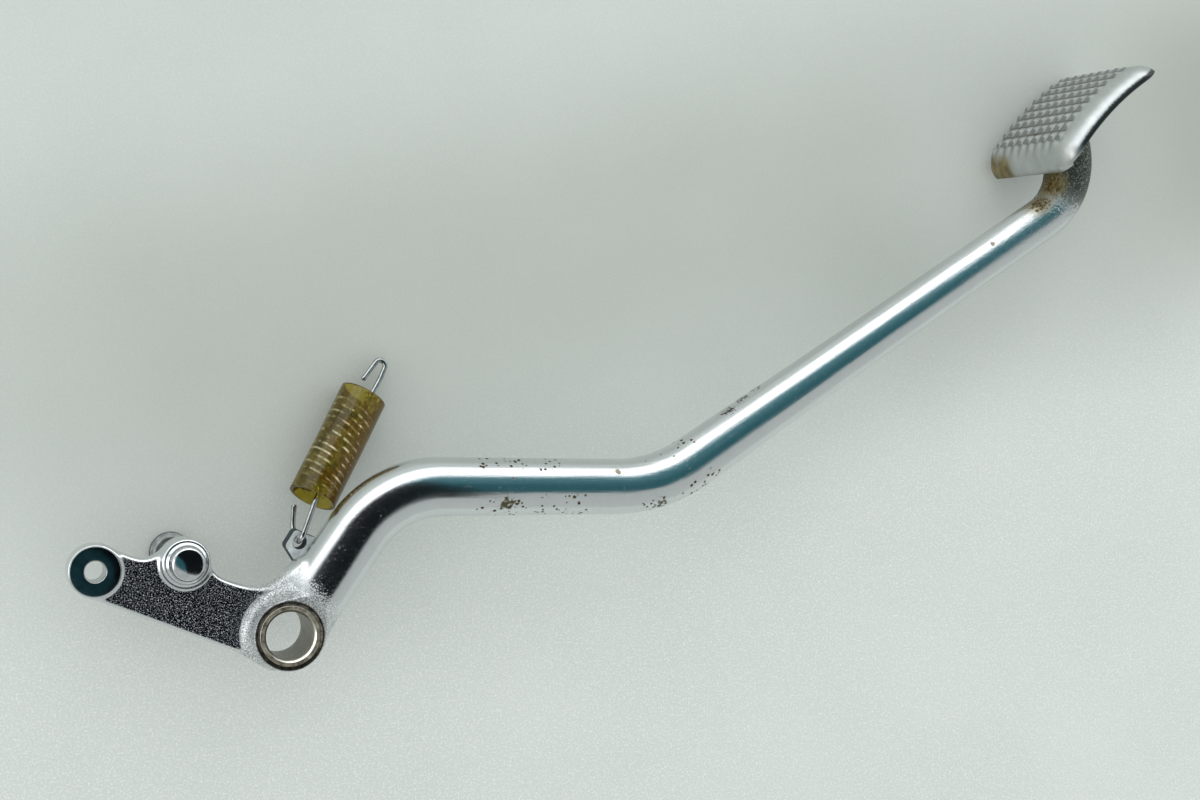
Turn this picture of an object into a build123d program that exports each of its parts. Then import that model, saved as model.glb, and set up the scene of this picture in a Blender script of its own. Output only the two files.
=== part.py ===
"""Motorcycle rear brake pedal: a forged, chromed lever that turns on a frame shaft.

Millimetres. Origin at the middle of the pivot bore. +Z runs along the pivot, away from the
motorcycle, and +X runs along the middle of the arm, from the pivot towards the foot pad.
One forging holds the pivot boss, the short brake lever and the long bent arm. A foot pad is
welded on the arm's end, a lug on its root holds the return spring, and a headed pin on the
lever takes the brake light switch.
"""

from build123d import *
import os
from math import asin, atan2, cos, degrees, hypot, radians, sin, sqrt, tan

# ---------------------------------------------------------------- driving dimensions
PIVOT_R = 7.0            # radius of the bore that turns on the frame shaft
BUSH_R = 8.8             # outer radius of the steel bush
BOSS_R = 10.0            # machined outer radius of the boss
BOSS_LENGTH = 20.0       # along the pivot
BORE_CHAMFER = 0.6
BOSS_CHAMFER = 0.5

EYE = (-53.9, 20.0)      # centre of the brake rod eye
EYE_R = 7.6
EYE_THICKNESS = 8.0
EYE_HOLE_R = 3.1
EYE_CHAMFER = 0.3
LEVER_THICKNESS = 6.0
FLARE_R = 15.0           # where the boss flares into the lever
FLARE_HEIGHT = 5.5       # how far the flare climbs above the lever's face

PIN = (-28.5, 21.5)      # axis of the headed pin
SEAT_R = 6.9             # round pad forged on the lever under the pin
SEAT_HEIGHT = 1.8
PIN_HOLE_R = 3.0         # shank in the lever
PIN_NECK_R = 4.2
PIN_HEAD_R = 6.2
PIN_HEAD_THICKNESS = 2.0
DOME_R = 5.4
DOME_RIM = 1.0           # straight side of the domed end
DOME_HEIGHT = 3.4

ARM_START = (1.2, -0.9)
ARM_CORNERS = ((31.3, 41.3), (116.3, 39.1), (264.4, 131.4))
ARM_BENDS = (30.0, 45.0, 20.0)
ROOT_R = 9.5
BEND_1_R = 9.0
MIDDLE_R = 8.5
BEND_2_R = 8.3
TAPER_R = 7.4
TAPER_AT = 0.30          # share of the last run where the quick taper ends
NECK_START_R = 7.0
NECK_R = 8.1
NECK_ANGLE = 108.0       # direction of the neck, up into the pad
NECK_LENGTH = 30.0       # from the last corner, to beyond the pad's ceiling

PAD_WIDTH = 53.0         # along the pivot
PAD_CHORD = 47.0
PAD_ANGLE = 44.2         # direction of the chord
PAD_MIDDLE = (260.8, 155.7)
PAD_HEIGHT = 6.2         # from the rim to the face
PAD_THICKNESS = 2.6
PAD_CROWN_R = 88.0       # the whole pad is curved along its chord
PAD_CORNER_R = 7.5
PAD_ROLL_R = 5.4
ROW_PITCH = 4.1          # grooves across the pad, set along its chord
ROW_GROOVES = 10
ROW_MIDDLE = 1.85        # the tread isn't centred on the pad
COLUMN_PITCH = 4.8       # grooves along the chord, set across the pad
COLUMN_GROOVES = 9
COLUMN_MIDDLE = 0.6
GROOVE_HALF = 1.6        # half a groove's width above the face
TREAD_DEPTH = 1.0
WELD_SIZE = 2.2
WELD_HEIGHT = 2.4

WIRE_R = 0.8
COIL_R = 5.1             # to the middle of the wire
COIL_PITCH = 2.2
COIL_TURNS = 13.0
COIL_START = 15.8        # along the spring, from the lug
SPRING_ANGLE = 59.0      # the spring lies beside the arm
SPRING_DIP = 14.9        # and slopes down from the lug, so that its sleeve rests on the ground
SPRING_BASE = (4.14, 26.54, -6.5)
HOOK_OFFSET = 1.93       # the lug's hole is this far beside the spring's axis
HOOK_FRONT = 4.4         # shank above the spring's axis, clear of the lug when it swings
HOOK_BACK = 3.5          # tip below it
HOOK_BEND = 2.1
SHANK_IN = 0.8           # the shank's place beside the axis where it meets the coil
SHANK_FRONT = 3.8        # and above it
LOOP_MIDDLE = 0.5        # the upper loop sits this far beside the axis
LOOP_R = 2.05
LOOP_TOP = 62.0
LOOP_TIP = 53.9
FOOT_AT = 46.1
SLEEVE_R = 7.3
SLEEVE_WALL = 1.0
SLEEVE_FROM = 13.3
SLEEVE_LENGTH = 36.5

LUG_THICKNESS = 3.0
LUG_HOLE_R = 2.1
LUG_TILT = 15.0          # its outer edge leans out of the motorcycle
LUG_OUTLINE = ((-8.0, -8.5), (4.6, -8.5), (2.4, 3.7), (-3.5, 3.4))
LUG_CORNER_R = 1.5

# ---------------------------------------------------------------- derived places
Z_UP = Vector(0, 0, 1)
LOWEST = -PAD_WIDTH / 2  # laid down, the pedal rests on the pad's edge and the pin's head
RUN_1 = Vector(ARM_CORNERS[0][0] - ARM_START[0], ARM_CORNERS[0][1] - ARM_START[1], 0).normalized()


def spring_point(along, beside, above):
    """A point in the spring's own directions: along its axis, towards the arm, and +Z."""
    turn = radians(SPRING_ANGLE)
    level = along * cos(radians(SPRING_DIP))
    x = SPRING_BASE[0] + level * cos(turn) + beside * sin(turn)
    y = SPRING_BASE[1] + level * sin(turn) - beside * cos(turn)
    z = SPRING_BASE[2] - along * sin(radians(SPRING_DIP)) + above
    return Vector(x, y, z)


def cylinder(radius, low, high, centre=(0, 0)):
    """An upright cylinder between two heights."""
    return Pos(centre[0], centre[1], (low + high) / 2) * Cylinder(radius, high - low)


def bore_cutter(radius, chamfer_size, half_length, centre=(0, 0)):
    """A hole through the part with a chamfered mouth at each end."""
    wide = radius + chamfer_size
    profile = [
        (0, -half_length - 1),
        (wide + 1, -half_length - 1),
        (radius, -half_length + chamfer_size),
        (radius, half_length - chamfer_size),
        (wide + 1, half_length + 1),
        (0, half_length + 1),
    ]
    face = make_face(Plane.XZ * Polyline(*profile, close=True))
    return Pos(centre[0], centre[1], 0) * revolve(face, Axis.Z)


# ---------------------------------------------------------------- boss and bush
def pivot_boss():
    half = BOSS_LENGTH / 2
    body = chamfer(Cylinder(BOSS_R, BOSS_LENGTH).edges().filter_by(GeomType.CIRCLE), BOSS_CHAMFER)
    return body - cylinder(BUSH_R, -half, half)


def pivot_bush():
    half = BOSS_LENGTH / 2
    return cylinder(BUSH_R, -half, half) - bore_cutter(PIVOT_R, BORE_CHAMFER, half)


# ---------------------------------------------------------------- lever
def tangent_point(centre, radius, direction):
    """Where a line with this direction touches the lower side of a circle."""
    turn = radians(direction)
    return (centre[0] + radius * sin(turn), centre[1] - radius * cos(turn))


def lever_outline():
    """The lever seen along the pivot, without its eye and seat."""
    apart = hypot(EYE[0], EYE[1])
    lean = degrees(atan2(-EYE[1], -EYE[0])) - degrees(asin((BOSS_R - EYE_R) / apart))
    eye_low = tangent_point(EYE, EYE_R, lean)
    boss_low = tangent_point((0, 0), BOSS_R, lean)
    eye_top = (EYE[0] + 2.5, EYE[1] + 7.0)
    dip = (-41.0, 22.9)
    seat_left = (PIN[0] - 5.6, PIN[1] + 3.4)
    seat_right = (PIN[0] + 6.4, PIN[1] - 0.8)
    shoulder = (-17.5, 16.3)
    saddle = (-6.0, 13.7)
    arm_side = (4.5, 20.0)
    edges = [
        Line(eye_low, boss_low),
        Line(boss_low, (6.0, 0.0)),
        Line((6.0, 0.0), arm_side),
        Spline(arm_side, saddle, shoulder, seat_right),
        Line(seat_right, seat_left),
        Spline(seat_left, dip, eye_top),
        Line(eye_top, EYE),
        Line(EYE, eye_low),
    ]
    return make_face(Wire(edges))


def brake_lever():
    half = LEVER_THICKNESS / 2
    outline = lever_outline()
    plate = Pos(0, 0, -half) * extrude(outline, LEVER_THICKNESS)
    flare = Pos(0, 0, half + FLARE_HEIGHT / 2) * Cone(FLARE_R, BOSS_R + 0.4, FLARE_HEIGHT)
    flare = flare + mirror(flare, Plane.XY)
    reach = half + FLARE_HEIGHT
    flare = flare & (Pos(0, 0, -reach) * extrude(outline, 2 * reach))
    eye = cylinder(EYE_R, -EYE_THICKNESS / 2, EYE_THICKNESS / 2, EYE)
    eye = chamfer(eye.edges().filter_by(GeomType.CIRCLE), 0.4)
    seat = cylinder(SEAT_R, -half - SEAT_HEIGHT, half + SEAT_HEIGHT, PIN)
    seat = chamfer(seat.edges().filter_by(GeomType.CIRCLE), 0.8)
    lever = plate + flare + eye + seat
    lever = lever - bore_cutter(EYE_HOLE_R, EYE_CHAMFER, EYE_THICKNESS / 2, EYE)
    lever = lever - cylinder(PIN_HOLE_R, -reach, reach, PIN)
    return lever - cylinder(BOSS_R, -BOSS_LENGTH, BOSS_LENGTH)


def switch_pin():
    """Pressed through the lever: a domed end outside, a neck and a flat head inside."""
    outside = LEVER_THICKNESS / 2 + SEAT_HEIGHT
    head_top = LOWEST + PIN_HEAD_THICKNESS
    shank = cylinder(PIN_HOLE_R, -outside, outside)
    neck = cylinder(PIN_NECK_R, head_top, -outside)
    head = chamfer(cylinder(PIN_HEAD_R, LOWEST, head_top).edges().filter_by(GeomType.CIRCLE), 0.4)
    sphere_r = (DOME_R ** 2 + DOME_HEIGHT ** 2) / (2 * DOME_HEIGHT)
    rim_top = outside + DOME_RIM
    dome = Pos(0, 0, rim_top + DOME_HEIGHT - sphere_r) * Sphere(sphere_r)
    dome = dome & cylinder(DOME_R, rim_top, rim_top + DOME_HEIGHT + 1)
    rim = cylinder(DOME_R, outside, rim_top)
    return Pos(PIN[0], PIN[1], 0) * (shank + neck + head + rim + dome)


# ---------------------------------------------------------------- arm
def arm_corners():
    """The arm's centre line, corner by corner, from the boss to inside the pad."""
    first = Vector(*ARM_CORNERS[0], 0)
    second = Vector(*ARM_CORNERS[1], 0)
    third = Vector(*ARM_CORNERS[2], 0)
    neck = Vector(cos(radians(NECK_ANGLE)), sin(radians(NECK_ANGLE)), 0)
    end = third + neck * NECK_LENGTH
    return [Vector(*ARM_START, 0), first, second, third, end]


def taper(start, end, start_r, end_r):
    """A straight round length whose radius changes from one end to the other."""
    run = end - start
    return Solid.make_cone(start_r, end_r, run.length, Plane(origin=start, z_dir=run))


def bend(before, corner, after, radius):
    """A tangent arc at a corner: its ends and the point halfway round."""
    back = (before - corner).normalized()
    on = (after - corner).normalized()
    half_turn = radians(180 - back.get_angle(on)) / 2
    reach = radius * tan(half_turn)
    inside = (back + on).normalized()
    middle = corner + inside * (radius / cos(half_turn) - radius)
    return corner + back * reach, middle, corner + on * reach


def elbow(ends, radius, direction):
    start, middle, end = ends
    section = Plane(origin=start, z_dir=direction) * Circle(radius)
    return sweep(section, path=ThreePointArc(start, middle, end))


def arm_body():
    points = arm_corners()
    bends = [bend(points[i], points[i + 1], points[i + 2], ARM_BENDS[i]) for i in range(3)]
    start = points[0] + RUN_1 * 2.0
    quick = bends[1][2] + (bends[2][0] - bends[1][2]) * TAPER_AT
    arm = Pos(*start) * Sphere(ROOT_R)
    arm = arm + taper(start, bends[0][0], ROOT_R, BEND_1_R)
    arm = arm + elbow(bends[0], BEND_1_R, bends[0][0] - start)
    arm = arm + taper(bends[0][2], bends[1][0], BEND_1_R, BEND_2_R)
    arm = arm + elbow(bends[1], BEND_2_R, bends[1][0] - bends[0][2])
    arm = arm + taper(bends[1][2], quick, BEND_2_R, TAPER_R)
    arm = arm + taper(quick, bends[2][0], TAPER_R, NECK_START_R)
    arm = arm + elbow(bends[2], NECK_START_R, bends[2][0] - quick)
    return arm + taper(bends[2][2], points[4], NECK_START_R, NECK_R)


def pedal_arm(lever, block):
    arm = arm_body() - cylinder(BOSS_R, -BOSS_LENGTH, BOSS_LENGTH)
    middle_of_plate = PAD_HEIGHT - PAD_THICKNESS / 2
    beyond = Pos(0, middle_of_plate + PAD_CHORD / 2, 0) * Box(PAD_CHORD, PAD_CHORD, PAD_WIDTH)
    return arm - lever - block - to_pad(beyond)


# ---------------------------------------------------------------- pad
def crown(along):
    """How far the curved pad falls from its middle, at a distance along its chord."""
    return sqrt(PAD_CROWN_R ** 2 - along ** 2) - PAD_CROWN_R


def pad_form(inset, low):
    """The pad's outer form, or with an inset the hollow under it: a curved block, edges rolled."""
    half = PAD_CHORD / 2 - inset
    top = PAD_HEIGHT - inset
    rim_end = crown(half) - low
    face_end = crown(half) + top
    edges = [
        ThreePointArc((half, face_end), (0, top), (-half, face_end)),
        Line((-half, face_end), (-half, rim_end)),
        ThreePointArc((-half, rim_end), (0, -low), (half, rim_end)),
        Line((half, rim_end), (half, face_end)),
    ]
    block = extrude(make_face(Wire(edges)), PAD_WIDTH / 2 - inset, both=True)
    block = fillet(block.edges().filter_by(Axis.Y), PAD_CORNER_R - inset)
    face_edges = block.edges().filter_by(lambda e: e.center().Y > crown(e.center().X) + top - 0.5)
    return fillet(face_edges, PAD_ROLL_R - inset)


def plain_pad():
    """The pad before its tread is cut, open underneath."""
    return pad_form(0, 0) - pad_form(PAD_THICKNESS, 2.0)


def to_pad(shape):
    """From the pad's own directions (X along its chord, Y out, Z across) to its place."""
    return Pos(PAD_MIDDLE[0], PAD_MIDDLE[1], 0) * Rot(0, 0, PAD_ANGLE) * shape


def tread_cutters():
    """V grooves in both directions that leave rows of pyramids."""
    centre = PAD_HEIGHT - PAD_CROWN_R
    deep = PAD_CROWN_R - TREAD_DEPTH
    high = PAD_CROWN_R + 0.6
    notch = Polyline((-GROOVE_HALF, high), (0, deep), (GROOVE_HALF, high), close=True)
    reach = (COLUMN_GROOVES - 1) * COLUMN_PITCH / 2
    across = Pos(0, 0, COLUMN_MIDDLE) * extrude(make_face(notch), reach, both=True)
    step = degrees(ROW_PITCH / PAD_CROWN_R)
    middle = -degrees(ROW_MIDDLE / PAD_CROWN_R)
    cutters = []
    for row in range(ROW_GROOVES):
        turn = middle + (row - (ROW_GROOVES - 1) / 2) * step
        cutters.append(Pos(0, centre, 0) * Rot(0, 0, turn) * across)
    ring = Polyline((0, deep, 0), (0, high, GROOVE_HALF), (0, high, -GROOVE_HALF), close=True)
    sweep_turn = step * (ROW_GROOVES - 1)
    for column in range(COLUMN_GROOVES):
        offset = COLUMN_MIDDLE + (column - (COLUMN_GROOVES - 1) / 2) * COLUMN_PITCH
        groove = revolve(make_face(ring), Axis.Z, sweep_turn)
        groove = Rot(0, 0, middle - sweep_turn / 2) * groove
        cutters.append(Pos(0, centre, offset) * groove)
    return cutters


def foot_pad():
    pad = plain_pad()
    for cutter in tread_cutters():
        pad = pad - cutter
    return to_pad(pad)


def pad_weld(block):
    """The bead where the neck meets the underside of the pad."""
    corners = arm_corners()
    place = Plane(origin=corners[3], z_dir=corners[4] - corners[3])
    collar = place * Pos(0, 0, NECK_LENGTH / 2) * Cylinder(NECK_R + WELD_SIZE, NECK_LENGTH)
    ceiling = PAD_HEIGHT - PAD_THICKNESS
    layer = Pos(0, ceiling - WELD_HEIGHT / 2, 0) * Box(PAD_CHORD, WELD_HEIGHT, PAD_WIDTH)
    return (collar & to_pad(layer)) - arm_body() - block


# ---------------------------------------------------------------- spring lug
def lug_place():
    """The lug's own plane: origin at its hole, Y out from the arm, tilted about the arm."""
    hole = spring_point(0, HOOK_OFFSET, 0)
    out = Vector(-RUN_1.Y, RUN_1.X, 0)
    normal = (Z_UP * cos(radians(LUG_TILT)) - out * sin(radians(LUG_TILT))).normalized()
    return Plane(origin=hole, x_dir=RUN_1, z_dir=normal)


def spring_lug():
    face = make_face(Polyline(*LUG_OUTLINE, close=True))
    face = fillet(face.vertices().sort_by(Axis.Y)[-2:], LUG_CORNER_R)
    plate = Pos(0, 0, -LUG_THICKNESS / 2) * extrude(face, LUG_THICKNESS)
    plate = plate - Cylinder(LUG_HOLE_R, 3 * LUG_THICKNESS)
    return lug_place() * plate - arm_body()


# ---------------------------------------------------------------- spring
def wire(points, bends):
    """Round wire along straight runs joined by tangent arcs."""
    path = FilletPolyline(*points, radius=bends)
    start = Plane(origin=path @ 0, z_dir=path % 0)
    return sweep(start * Circle(WIRE_R), path=path)


def spring_lower_hook():
    points = [
        spring_point(COIL_START - WIRE_R - 0.05, SHANK_IN, SHANK_FRONT),
        spring_point(0, HOOK_OFFSET, HOOK_FRONT),
        spring_point(0, HOOK_OFFSET, -HOOK_BACK),
        spring_point(3.6, -1.1, -HOOK_BACK),
        spring_point(8.9, -2.6, -HOOK_BACK),
    ]
    return wire(points, [HOOK_BEND, 1.8, 2.5])


def spring_upper_hook():
    side = LOOP_MIDDLE + LOOP_R
    tip_side = LOOP_MIDDLE - LOOP_R
    points = [
        spring_point(FOOT_AT, COIL_R, 0),
        spring_point(FOOT_AT, side, 0),
        spring_point(LOOP_TOP, side, 0),
        spring_point(LOOP_TOP, tip_side, 0),
        spring_point(LOOP_TIP, tip_side, 0),
    ]
    return wire(points, [1.2, LOOP_R - 0.05, LOOP_R - 0.05])


def spring_coils():
    height = COIL_PITCH * COIL_TURNS
    path = Helix(COIL_PITCH, height, COIL_R)
    section = Plane(origin=path @ 0, z_dir=path % 0) * Circle(WIRE_R)
    coil = sweep(section, path=path, is_frenet=True)
    axis = spring_point(1, 0, 0) - spring_point(0, 0, 0)
    side = spring_point(0, 1, 0) - spring_point(0, 0, 0)
    return Plane(origin=spring_point(COIL_START, 0, 0), x_dir=side, z_dir=axis) * coil


def spring_sleeve():
    axis = spring_point(1, 0, 0) - spring_point(0, 0, 0)
    tube = Cylinder(SLEEVE_R, SLEEVE_LENGTH) - Cylinder(SLEEVE_R - SLEEVE_WALL, SLEEVE_LENGTH)
    middle = spring_point(SLEEVE_FROM + SLEEVE_LENGTH / 2, 0, 0)
    return Plane(origin=middle, z_dir=axis) * tube


# ---------------------------------------------------------------- write the nodes
def main():
    os.makedirs("parts", exist_ok=True)
    lever = brake_lever()
    block = to_pad(plain_pad())
    nodes = {
        "pivot_boss": pivot_boss(),
        "pivot_bush": pivot_bush(),
        "brake_lever": lever,
        "switch_pin": switch_pin(),
        "pedal_arm": pedal_arm(lever, block),
        "foot_pad": foot_pad(),
        "pad_weld": pad_weld(block),
        "spring_lug": spring_lug(),
        "spring_lower_hook": spring_lower_hook(),
        "spring_coils": spring_coils(),
        "spring_upper_hook": spring_upper_hook(),
        "spring_sleeve": spring_sleeve(),
    }
    for name, shape in nodes.items():
        export_step(shape, f"parts/{name}.step")


main()
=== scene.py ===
"""Motorcycle rear brake pedal: the looks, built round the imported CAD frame.

Lengths are in millimetres, in the frame of the CAD model, until a mesh is made in metres.
"""

from itertools import product
from math import cos, pi, radians, sin, sqrt

import bpy
import numpy as np
from mathutils import Matrix, Vector

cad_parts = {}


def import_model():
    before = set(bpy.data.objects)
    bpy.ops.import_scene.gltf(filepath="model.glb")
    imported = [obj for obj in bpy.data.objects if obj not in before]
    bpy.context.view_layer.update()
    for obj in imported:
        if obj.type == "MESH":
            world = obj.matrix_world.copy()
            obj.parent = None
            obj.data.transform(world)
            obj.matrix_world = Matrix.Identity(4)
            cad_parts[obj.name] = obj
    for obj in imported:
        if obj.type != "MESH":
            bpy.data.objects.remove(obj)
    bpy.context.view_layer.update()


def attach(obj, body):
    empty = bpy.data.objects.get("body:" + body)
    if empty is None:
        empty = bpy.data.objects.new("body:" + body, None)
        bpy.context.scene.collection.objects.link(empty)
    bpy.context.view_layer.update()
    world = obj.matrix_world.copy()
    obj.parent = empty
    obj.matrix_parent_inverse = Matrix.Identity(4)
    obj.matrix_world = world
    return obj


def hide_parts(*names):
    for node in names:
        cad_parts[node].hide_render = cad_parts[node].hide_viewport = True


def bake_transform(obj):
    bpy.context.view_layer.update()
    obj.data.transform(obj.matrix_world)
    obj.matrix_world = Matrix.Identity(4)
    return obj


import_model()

# ---------------------------------------------------------------- the CAD model's dimensions
FLOOR_Z = -26.5
BOSS_R = 10.0
BUSH_R = 8.8
BORE_R = 7.0
EYE = (-53.9, 20.0)
EYE_R = 7.6
EYE_HOLE_R = 3.1
PIN = (-28.5, 21.5)
SEAT_R = 6.9
ARM_START = (1.2, -0.9)
ARM_CORNERS = ((31.3, 41.3), (116.3, 39.1), (264.4, 131.4))
ARM_BENDS = (30.0, 45.0, 20.0)
NECK_ANGLE = 108.0
NECK_LENGTH = 26.0
PAD_MIDDLE = (260.8, 155.7)
PAD_ANGLE = 44.2
PAD_CHORD = 47.0
PAD_WIDTH = 53.0
PAD_HEIGHT = 6.2
PAD_THICKNESS = 2.6
PAD_CROWN_R = 88.0
PAD_CORNER_R = 7.5
PAD_ROLL = 8.5
SPRING_BASE = (4.14, 26.54, -6.5)
SPRING_ANGLE = 59.0
SPRING_DIP = 14.9
WIRE_R = 0.8
COIL_R = 5.1
COIL_PITCH = 2.2
COIL_START = 15.8
COIL_TURNS = 13.0
SLEEVE_R = 7.3
SLEEVE_WALL = 1.0
SLEEVE_FROM = 13.3
SLEEVE_LENGTH = 36.5
LUG_TILT = 15.0
LUG_THICKNESS = 3.0
LUG_HOLE_R = 2.1
LUG_HOLE_BESIDE = 1.93

# the tread on the pad: rows along the chord, columns across it
TREAD_ROW = 4.1
TREAD_ROWS = 9
TREAD_FIRST_ROW = -16.6
TREAD_COLUMN = 4.8
TREAD_COLUMNS = 9
TREAD_FIRST_COLUMN = -23.4

# where rust specks gather along both sides of the arm
RUST_GROUPS = ((60.0, 47.5), (69.0, 48.0), (80.0, 47.5), (61.0, 35.2), (68.0, 35.4), (79.0, 35.2),
               (88.0, 35.0), (113.0, 35.0), (124.0, 39.2), (131.0, 42.5))


def heading(degrees):
    """The unit vector at an angle in the drawing's plane."""
    return np.array([cos(radians(degrees)), sin(radians(degrees))])


PAD_ALONG = heading(PAD_ANGLE)
PAD_OUT = heading(PAD_ANGLE + 90.0)
NECK_WAY = heading(NECK_ANGLE)


# ---------------------------------------------------------------- mesh tools
def make_piece(name, points, faces, body, material, replaces=(), normals=None):
    """A piece of the visual model from points in millimetres."""
    mesh = bpy.data.meshes.new(name)
    mesh.from_pydata((np.asarray(points, float) * 0.001).tolist(), [], faces)
    mesh.update()
    mesh.shade_smooth()
    if normals is not None:
        mesh.normals_split_custom_set_from_vertices(np.asarray(normals, float).tolist())
    piece = bpy.data.objects.new(name, mesh)
    bpy.context.scene.collection.objects.link(piece)
    piece.data.materials.append(material)
    if body:
        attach(piece, body)
    if replaces:
        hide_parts(*replaces)
    return piece


def unit(v):
    return v / np.linalg.norm(v)


def round_turn(segments):
    """Evenly spaced angles round a circle."""
    return np.arange(segments) * 2 * pi / segments


def grid_faces(rows, columns, start=0, wrap=False, loop=False, flip=False):
    """Quads over a grid of points: wrap closes each row, and loop joins the last row to the first."""
    faces = []
    for i in range(rows if loop else rows - 1):
        here, there = start + i * columns, start + (i + 1) % rows * columns
        for j in range(columns if wrap else columns - 1):
            k = (j + 1) % columns
            quad = (here + j, here + k, there + k, there + j)
            faces.append(quad[::-1] if flip else quad)
    return faces


def tube_faces(rings, segments):
    """Quads round a row of rings, and a cap at each end."""
    faces = grid_faces(rings, segments, wrap=True)
    last = (rings - 1) * segments
    faces.append(tuple(range(last, last + segments)))
    faces.append(tuple(range(segments))[::-1])
    return faces


def lathe(profile, centre, segments=96, loop=False):
    """A profile of (radius, height) turned round an upright axis. Returns points and faces."""
    turns = round_turn(segments)
    rings = [np.stack([radius * np.cos(turns), radius * np.sin(turns), np.full(segments, height)], 1)
             for radius, height in profile]
    points = np.concatenate(rings) + np.asarray(centre, float)
    return points, grid_faces(len(profile), segments, wrap=True, loop=loop)


def rounded(points, radius, steps=5):
    """A closed 2D outline with each corner replaced by an arc of up to this radius."""
    points = np.array(points, float)
    out = []
    for before, corner, after in zip(np.roll(points, 1, 0), points, np.roll(points, -1, 0)):
        back, on = before - corner, after - corner
        room = 0.45 * min(np.linalg.norm(back), np.linalg.norm(on))
        back, on = unit(back), unit(on)
        half = np.arccos(np.clip(back @ on, -1, 1)) / 2
        reach = min(radius / np.tan(half), room)
        size = reach * np.tan(half)
        centre = corner + unit(back + on) * (size / np.sin(half))
        a, b = corner + back * reach - centre, corner + on * reach - centre
        for t in np.linspace(0, 1, steps):
            out.append(tuple(centre + unit(a * (1 - t) + b * t) * size))
    return out


def bent_path(points, bends, count=12):
    """Straight runs joined by round bends, in two or three dimensions."""
    points = [np.array(point, float) for point in points]
    out = [points[0]]
    for before, corner, after, radius in zip(points, points[1:], points[2:], bends):
        back, on = unit(before - corner), unit(after - corner)
        half = np.arccos(np.clip(back @ on, -1, 1)) / 2
        reach = radius / np.tan(half)
        centre = corner + unit(back + on) * radius / np.sin(half)
        a, b = corner + back * reach - centre, corner + on * reach - centre
        angle = np.arccos(np.clip(a @ b / radius ** 2, -1, 1))
        for t in np.linspace(0, 1, count):
            out.append(centre + (a * sin((1 - t) * angle) + b * sin(t * angle)) / sin(angle))
    out.append(points[-1])
    return out


def lengths_along(points):
    """The distance along a path at each of its points."""
    return np.concatenate([[0], np.cumsum(np.linalg.norm(np.diff(points, axis=0), axis=1))])


def surface_net(distance, low, high, step, relax=2):
    """Points, quads and normals of the zero surface of a distance function, on a grid."""
    low = np.array(low, float)
    counts = np.ceil((np.array(high) - low) / step).astype(int) + 1
    axes = [low[i] + step * np.arange(counts[i]) for i in range(3)]
    yy, zz = np.meshgrid(axes[1], axes[2], indexing="ij")
    values = np.empty(counts, np.float32)
    for i, x in enumerate(axes[0]):
        sheet = np.stack([np.full(yy.shape, x), yy, zz], -1).reshape(-1, 3)
        values[i] = distance(sheet).reshape(yy.shape)
    inside = values < 0
    cells = counts - 1
    total = np.zeros(cells, int)
    for i, j, k in product((0, 1), repeat=3):
        total += inside[i:i + cells[0], j:j + cells[1], k:k + cells[2]]
    active = (total > 0) & (total < 8)
    index = -np.ones(active.shape, int)
    index[active] = np.arange(active.sum())
    points = low + step * (np.argwhere(active) + 0.5)
    quads = []
    for axis in range(3):
        sides = [(axis + 1) % 3, (axis + 2) % 3]
        near = np.take(inside, np.arange(cells[axis]), axis)
        far = np.take(inside, np.arange(1, counts[axis]), axis)
        for outward, crossing in ((True, near & ~far), (False, ~near & far)):
            where = np.argwhere(crossing)
            where = where[((where[:, sides] > 0) & (where[:, sides] < cells[sides])).all(1)]
            corners = []
            for shift in ((-1, -1), (0, -1), (0, 0), (-1, 0)):
                cell = where.copy()
                cell[:, sides] += shift
                corners.append(index[tuple(cell.T)])
            quad = np.stack(corners, 1)
            quads.append(quad if outward else quad[:, ::-1])
    quads = np.concatenate(quads)
    quads = quads[(quads >= 0).all(1)]
    points = settle(distance, points)
    for _ in range(relax):
        points = settle(distance, towards_neighbours(points, quads))
    return points, quads, gradient(distance, points)


def gradient(distance, points, eps=0.02):
    """The unit outward direction of a distance function."""
    slope = np.empty_like(points)
    for axis in range(3):
        shift = np.zeros(3)
        shift[axis] = eps
        slope[:, axis] = (distance(points + shift) - distance(points - shift)) / (2 * eps)
    return slope / np.maximum(np.linalg.norm(slope, axis=1, keepdims=True), 1e-9)


def settle(distance, points, steps=4):
    """Moves points on to the zero surface."""
    for _ in range(steps):
        points = points - gradient(distance, points) * distance(points)[:, None]
    return points


def towards_neighbours(points, quads, share=0.6):
    """Points moved part of the way to the mean of their neighbours."""
    total = np.zeros_like(points)
    count = np.zeros(len(points))
    for i in range(4):
        a, b = quads[:, i], quads[:, (i + 1) % 4]
        for here, there in ((a, b), (b, a)):
            np.add.at(total, here, points[there])
            np.add.at(count, here, 1)
    return points * (1 - share) + total / np.maximum(count, 1)[:, None] * share


def drop_loose(points, quads, normals):
    """Keeps only the points that a face uses."""
    used = np.unique(quads)
    renumber = -np.ones(len(points), int)
    renumber[used] = np.arange(len(used))
    return points[used], renumber[quads], normals[used]


# ---------------------------------------------------------------- distance functions
def length2(a, b):
    return np.sqrt(a * a + b * b)


def fillet_union(a, b, radius):
    """Union of two distances with a round fillet where they meet."""
    corner = length2(np.maximum(radius - a, 0), np.maximum(radius - b, 0))
    return np.maximum(radius, np.minimum(a, b)) - corner


def round_cut(a, b, radius):
    """a without b, with the edge rounded."""
    corner = length2(np.maximum(radius + a, 0), np.maximum(radius - b, 0))
    return np.minimum(-radius, np.maximum(a, -b)) + corner


def slab(outline, height, half, edge):
    """A flat plate with rounded edges, from the distance to its outline and the height over its middle."""
    d = outline + edge
    h = np.abs(height) - half + edge
    return length2(np.maximum(d, 0), np.maximum(h, 0)) + np.minimum(np.maximum(d, h), 0) - edge


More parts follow.
